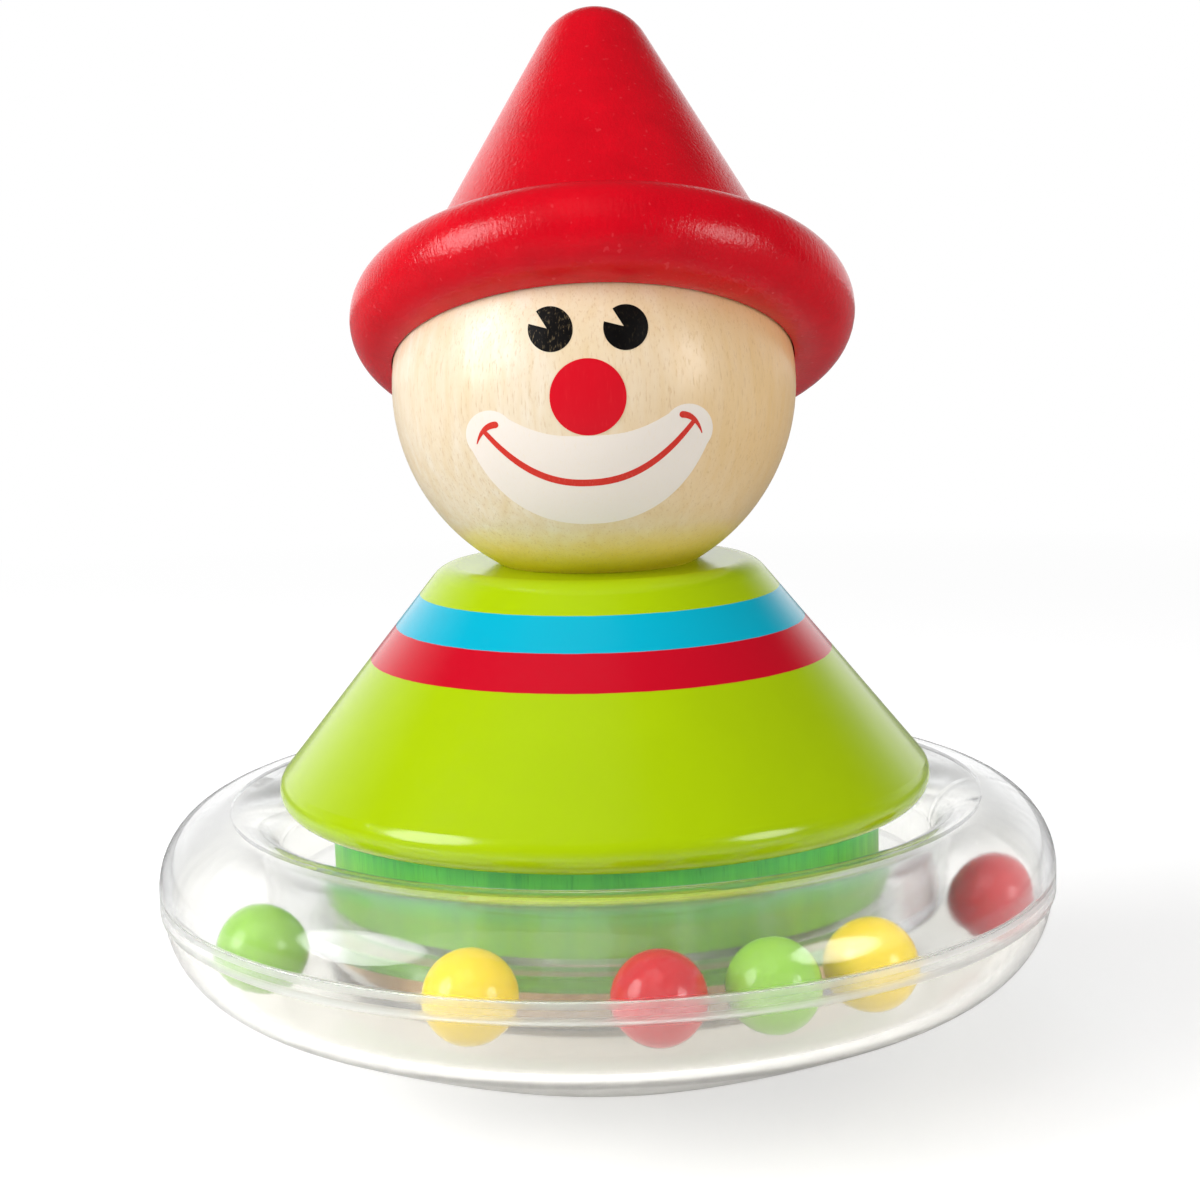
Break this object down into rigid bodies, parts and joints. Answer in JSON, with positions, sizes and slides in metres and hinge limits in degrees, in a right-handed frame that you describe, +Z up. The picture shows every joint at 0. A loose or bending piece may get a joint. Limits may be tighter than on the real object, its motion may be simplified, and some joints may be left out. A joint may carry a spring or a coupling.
{
  "type": "roly poly toy",
  "caption": "Wooden clown with pointed ring-brim hat, ball head and striped cone body on a clear self-righting rocking base with loose beads in a ring channel.",
  "frame": {"origin": "middle of the small resting flat at the pole of the rocking base", "axes": "+Z up along the body's axis, the face looks along -Y, the hat leans back towards +Y"},
  "size_m": [0.08, 0.08, 0.096],
  "materials": {
    "hat_paint": "satin red paint over turned wood",
    "head_wood": "clear lacquer over pale wood with a printed face",
    "bare_wood": "plain unfinished wood",
    "body_paint": "gloss green paint with a blue and a red stripe",
    "steel": "plain steel",
    "clear_shell": "clear gloss plastic",
    "bead_green": "gloss",
    "bead_yellow": "gloss",
    "bead_red": "gloss"
  },
  "bodies": {
    "figure": {"hat": "hat_paint", "hat_dowel": "bare_wood", "head": "head_wood", "neck_dowel": "bare_wood", "body": "body_paint", "weight": "steel", "base_screw": "steel", "upper_shell": "clear_shell", "lower_shell": "clear_shell"},
    "bead_1_ball": {"bead_1": "bead_green"},
    "bead_2_ball": {"bead_2": "bead_yellow"},
    "bead_3_ball": {"bead_3": "bead_red"},
    "bead_4_ball": {"bead_4": "bead_green"},
    "bead_5_ball": {"bead_5": "bead_yellow"},
    "bead_6_ball": {"bead_6": "bead_red"}
  },
  "joints": [
    {"name": "bead_1_roll", "type": "hinge", "parent": "figure", "child": "bead_1_ball", "pos_m": [0, 0, 0.01785], "axis": [0, 0, 1], "continuous": true},
    {"name": "bead_2_roll", "type": "hinge", "parent": "figure", "child": "bead_2_ball", "pos_m": [0, 0, 0.01785], "axis": [0, 0, 1], "continuous": true},
    {"name": "bead_3_roll", "type": "hinge", "parent": "figure", "child": "bead_3_ball", "pos_m": [0, 0, 0.01785], "axis": [0, 0, 1], "continuous": true},
    {"name": "bead_4_roll", "type": "hinge", "parent": "figure", "child": "bead_4_ball", "pos_m": [0, 0, 0.01785], "axis": [0, 0, 1], "continuous": true},
    {"name": "bead_5_roll", "type": "hinge", "parent": "figure", "child": "bead_5_ball", "pos_m": [0, 0, 0.01785], "axis": [0, 0, 1], "continuous": true},
    {"name": "bead_6_roll", "type": "hinge", "parent": "figure", "child": "bead_6_ball", "pos_m": [0, 0, 0.01785], "axis": [0, 0, 1], "continuous": true}
  ],
  "couplings": [
    {"joint": "bead_2_roll", "follows": "bead_1_roll", "ratio": 1},
    {"joint": "bead_3_roll", "follows": "bead_1_roll", "ratio": 1},
    {"joint": "bead_4_roll", "follows": "bead_1_roll", "ratio": 1},
    {"joint": "bead_5_roll", "follows": "bead_1_roll", "ratio": 1},
    {"joint": "bead_6_roll", "follows": "bead_1_roll", "ratio": 1}
  ]
}
